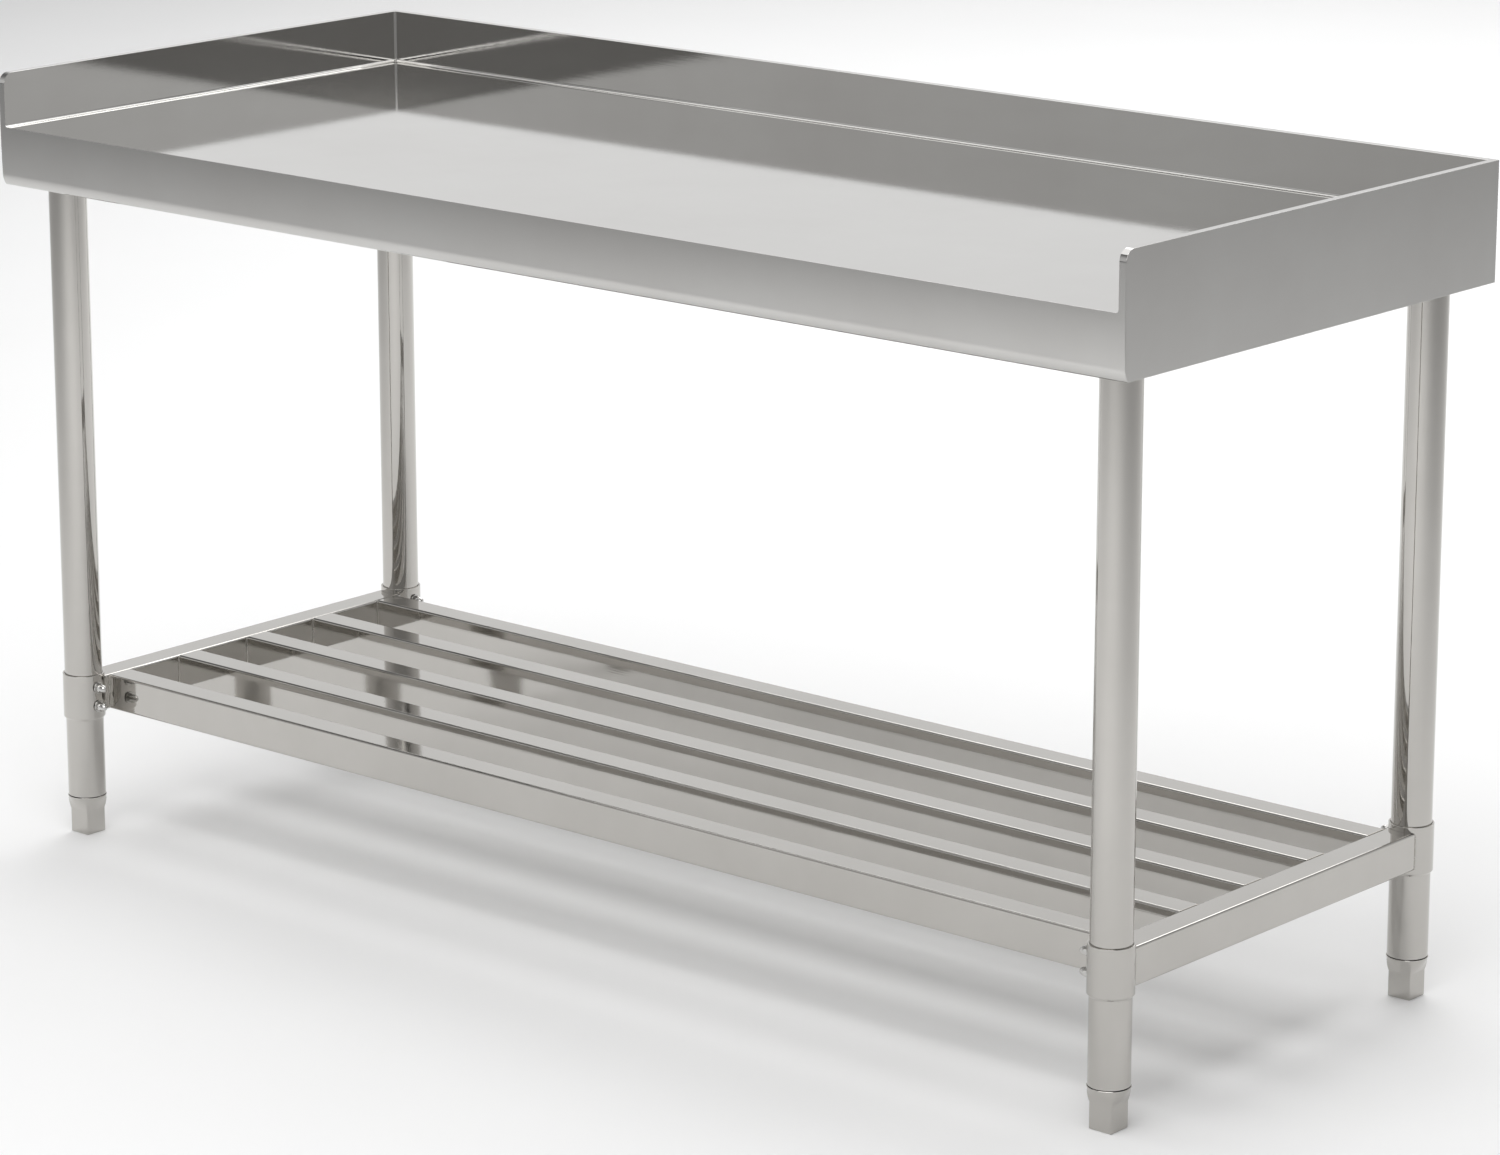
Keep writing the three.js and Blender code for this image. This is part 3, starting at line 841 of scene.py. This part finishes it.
# %% [markdown]
# ## Leg plugs
# The feet screw into moulded nylon plugs, pressed into the ends of the legs. Fine ribs round a plug bite
# into the tube. Modelling two dozen ribs one by one would be slow, so a rule on the lathe takes a quarter
# of a millimetre off the outer wall wherever a cosine is positive.

# %% Leg plugs
PLUG_EDGE = 0.8 * MM
PLUG_OUTSIDE = 15 * MM
RIBS = 24
RIB_DEPTH = 0.25 * MM


def ribbed(angle, r, height):
    return r - RIB_DEPTH * (math.cos(angle * RIBS) > 0) if r > PLUG_OUTSIDE else r


for corner in CORNER_NAMES:
    node = f"leg_insert_{corner}"
    low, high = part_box(node)
    plug = tube_outline(STEM_BORE, (high.x - low.x) / 2, 0, high.z - low.z, PLUG_EDGE)
    stand_for(node, turned(plug, on_axis(corner, low.z), shape=ribbed, hollow=True), "nylon")
print("plug radius mm:", round((high.x - low.x) / 2 / MM, 1), "ribs:", RIBS)

# %% [markdown]
# ## Welds
# The shelf frame is welded where each tube meets the side tube, and where the side tubes meet the collars.
# A weld is laid as overlapping puddles. A bump on the tubes would show the ripple but not the fillet that
# fills the corner, so each weld is a thin rod whose radius ripples along its length. It sits in the
# inside corner, half sunk into both pieces, and all of them are joined into one piece on the shelf.

# %% Welds
BEAD_RADIUS = 0.7 * MM
BEAD_PITCH = 1.6 * MM
BEAD_END = BEAD_RADIUS * 0.3
BEAD_RIPPLE = 0.12
BELOW_BEAD = 1 * MM
ABOVE_BEAD = 2 * MM
RINGS_PER_PUDDLE = 4


def bead(x, y, low, high):
    start = Vector((x, y, low.z + BELOW_BEAD))
    along = Vector((x, y, high.z - ABOVE_BEAD)) - start
    count = max(6, int(along.length / BEAD_PITCH) * RINGS_PER_PUDDLE)
    outline = [(BEAD_END, 0)]
    for i in range(1, count):
        height = along.length * i / count
        ripple = BEAD_RIPPLE * math.cos(math.tau * height / BEAD_PITCH)
        outline.append((BEAD_RADIUS * (1 + ripple), height))
    outline.append((BEAD_END, along.length))
    return turned(outline, start, along.normalized(), 10)


def joined(parts):
    whole = bmesh.new()
    for part in parts:
        temporary = bpy.data.meshes.new("part")
        part.to_mesh(temporary)
        part.free()
        whole.from_mesh(temporary)
        bpy.data.meshes.remove(temporary)
    return whole


shelf_beads = []
for tube in LONG_TUBES:
    low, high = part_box(f"shelf_{tube}")
    for x in (low.x, high.x):
        for y in (low.y, high.y):
            shelf_beads.append(bead(x, y, low, high))
for side in ("left", "right"):
    low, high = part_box(f"shelf_side_rail_{side}")
    half = (high.x - low.x) / 2
    for row in ("front", "rear"):
        corner = f"{row}_{side}"
        collar_low, collar_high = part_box(f"clamp_collar_{corner}")
        collar = (collar_high.y - collar_low.y) / 2
        reach = math.sqrt(collar ** 2 - half ** 2) * (1 if row == "front" else -1)
        for x in (low.x, high.x):
            shelf_beads.append(bead(x, LEG_AXIS[corner].y + reach, low, high))
finish_piece("shelf_weld_beads", joined(shelf_beads), "weld", "undershelf")
print("weld beads on the shelf:", len(shelf_beads))

# %% [markdown]
# ## Floor
# A work table stands in a pale studio on a plain matt floor. A curved backdrop would hide the horizon, but
# polished steel mirrors whatever stands near it, so one wide flat floor is kinder to the reflections. It
# has almost no shine of its own, and a very faint mottle keeps it from looking like paper.

# %% Floor
FLOOR_SIZE = 60.0


def pale_floor():
    material, tree, shader = new_material("pale_floor")
    mottle = noise(tree, EVEN, 3.0)
    tone = blend_colours(tree, mottle, (0.91, 0.91, 0.91), (0.89, 0.89, 0.89))
    tree.links.new(tone, shader.inputs["Base Color"])
    shader.inputs["Roughness"].default_value = 0.9
    shader.inputs["Specular IOR Level"].default_value = 0.1
    return material


floor_mesh = bmesh.new()
bmesh.ops.create_grid(floor_mesh, x_segments=4, y_segments=4, size=FLOOR_SIZE / 2)
floor_data = bpy.data.meshes.new("floor")
floor_mesh.to_mesh(floor_data)
floor_mesh.free()
floor_data.materials.append(pale_floor())
floor = bpy.data.objects.new("floor", floor_data)
floor.location.z = CAD_BOX[0].z
bpy.context.scene.collection.objects.link(floor)
print("floor at z", round(floor.location.z, 4))

# %% [markdown]
# ## Soft lights
# Polished steel shows the room more than it shows itself, so the light is the other half of the finish.
# Small lamps would leave hard white spots on every tube. Three large square lights far from the table act
# as studio soft boxes: one overhead, one that lights the floor behind the table, and a weaker one in
# front that lifts the apron and the rails.

# %% Soft lights
def soft_light(name, position, aim, size, power):
    data = bpy.data.lights.new(name, "AREA")
    data.shape = "SQUARE"
    data.size = size
    data.energy = power
    light = bpy.data.objects.new(name, data)
    light.location = position
    light.rotation_mode = "QUATERNION"
    light.rotation_quaternion = (Vector(aim) - Vector(position)).to_track_quat("-Z", "Y")
    bpy.context.scene.collection.objects.link(light)


soft_light("overhead", (-0.5, 0.6, 3.4), (-0.5, 0.6, 0), 4.8, 95)
soft_light("backdrop", (-2.2, 4.8, 4.0), (-2.2, 4.8, 0), 5.0, 190)
soft_light("front_fill", (1.0, -2.3, 2.6), (0.3, -0.7, 0), 3.2, 66)

# %% [markdown]
# ## The room
# The rest of what the steel mirrors is the room. An image of a real room would do, but a few smooth ramps
# are easier to steer. The room is brightest beyond the table, dimmer at the two sides and darkest on the
# viewer's side, and it dims towards the ceiling. So the top gets its pale sheen and its dark borders, and
# the upright faces get their greys.

# %% Room
BEYOND = Vector((-math.sin(AZIMUTH), math.cos(AZIMUTH), 0))

world = bpy.data.worlds.new("studio")
world.use_nodes = True
bpy.context.scene.world = world
sky = world.node_tree
direction = add_node(sky, "ShaderNodeTexCoord").outputs["Generated"]
up_and_down = add_node(sky, "ShaderNodeSeparateXYZ", {0: direction}).outputs["Z"]
towards = add_node(sky, "ShaderNodeVectorMath", {0: direction, 1: tuple(BEYOND)}, operation="DOT_PRODUCT")
viewer_to_side = ramp(sky, towards.outputs["Value"], 0.36, 0.72, -1.0, 0.0)
side_to_beyond = ramp(sky, towards.outputs["Value"], 0.0, 0.18, 0.0, 0.85)
ceiling = ramp(sky, up_and_down, 1.0, 0.15, 0.30, 0.70)
around = add_node(sky, "ShaderNodeMath", {0: viewer_to_side, 1: side_to_beyond}, operation="ADD")
brightness = add_node(sky, "ShaderNodeMath", {0: around.outputs[0], 1: ceiling}, operation="MULTIPLY")
sky.links.new(brightness.outputs[0], sky.nodes["Background"].inputs["Strength"])
sky.nodes["Background"].inputs["Color"].default_value = (1.0, 1.0, 1.0, 1)
bpy.context.scene.view_settings.view_transform = "Standard"
print("room nodes:", len(sky.nodes))
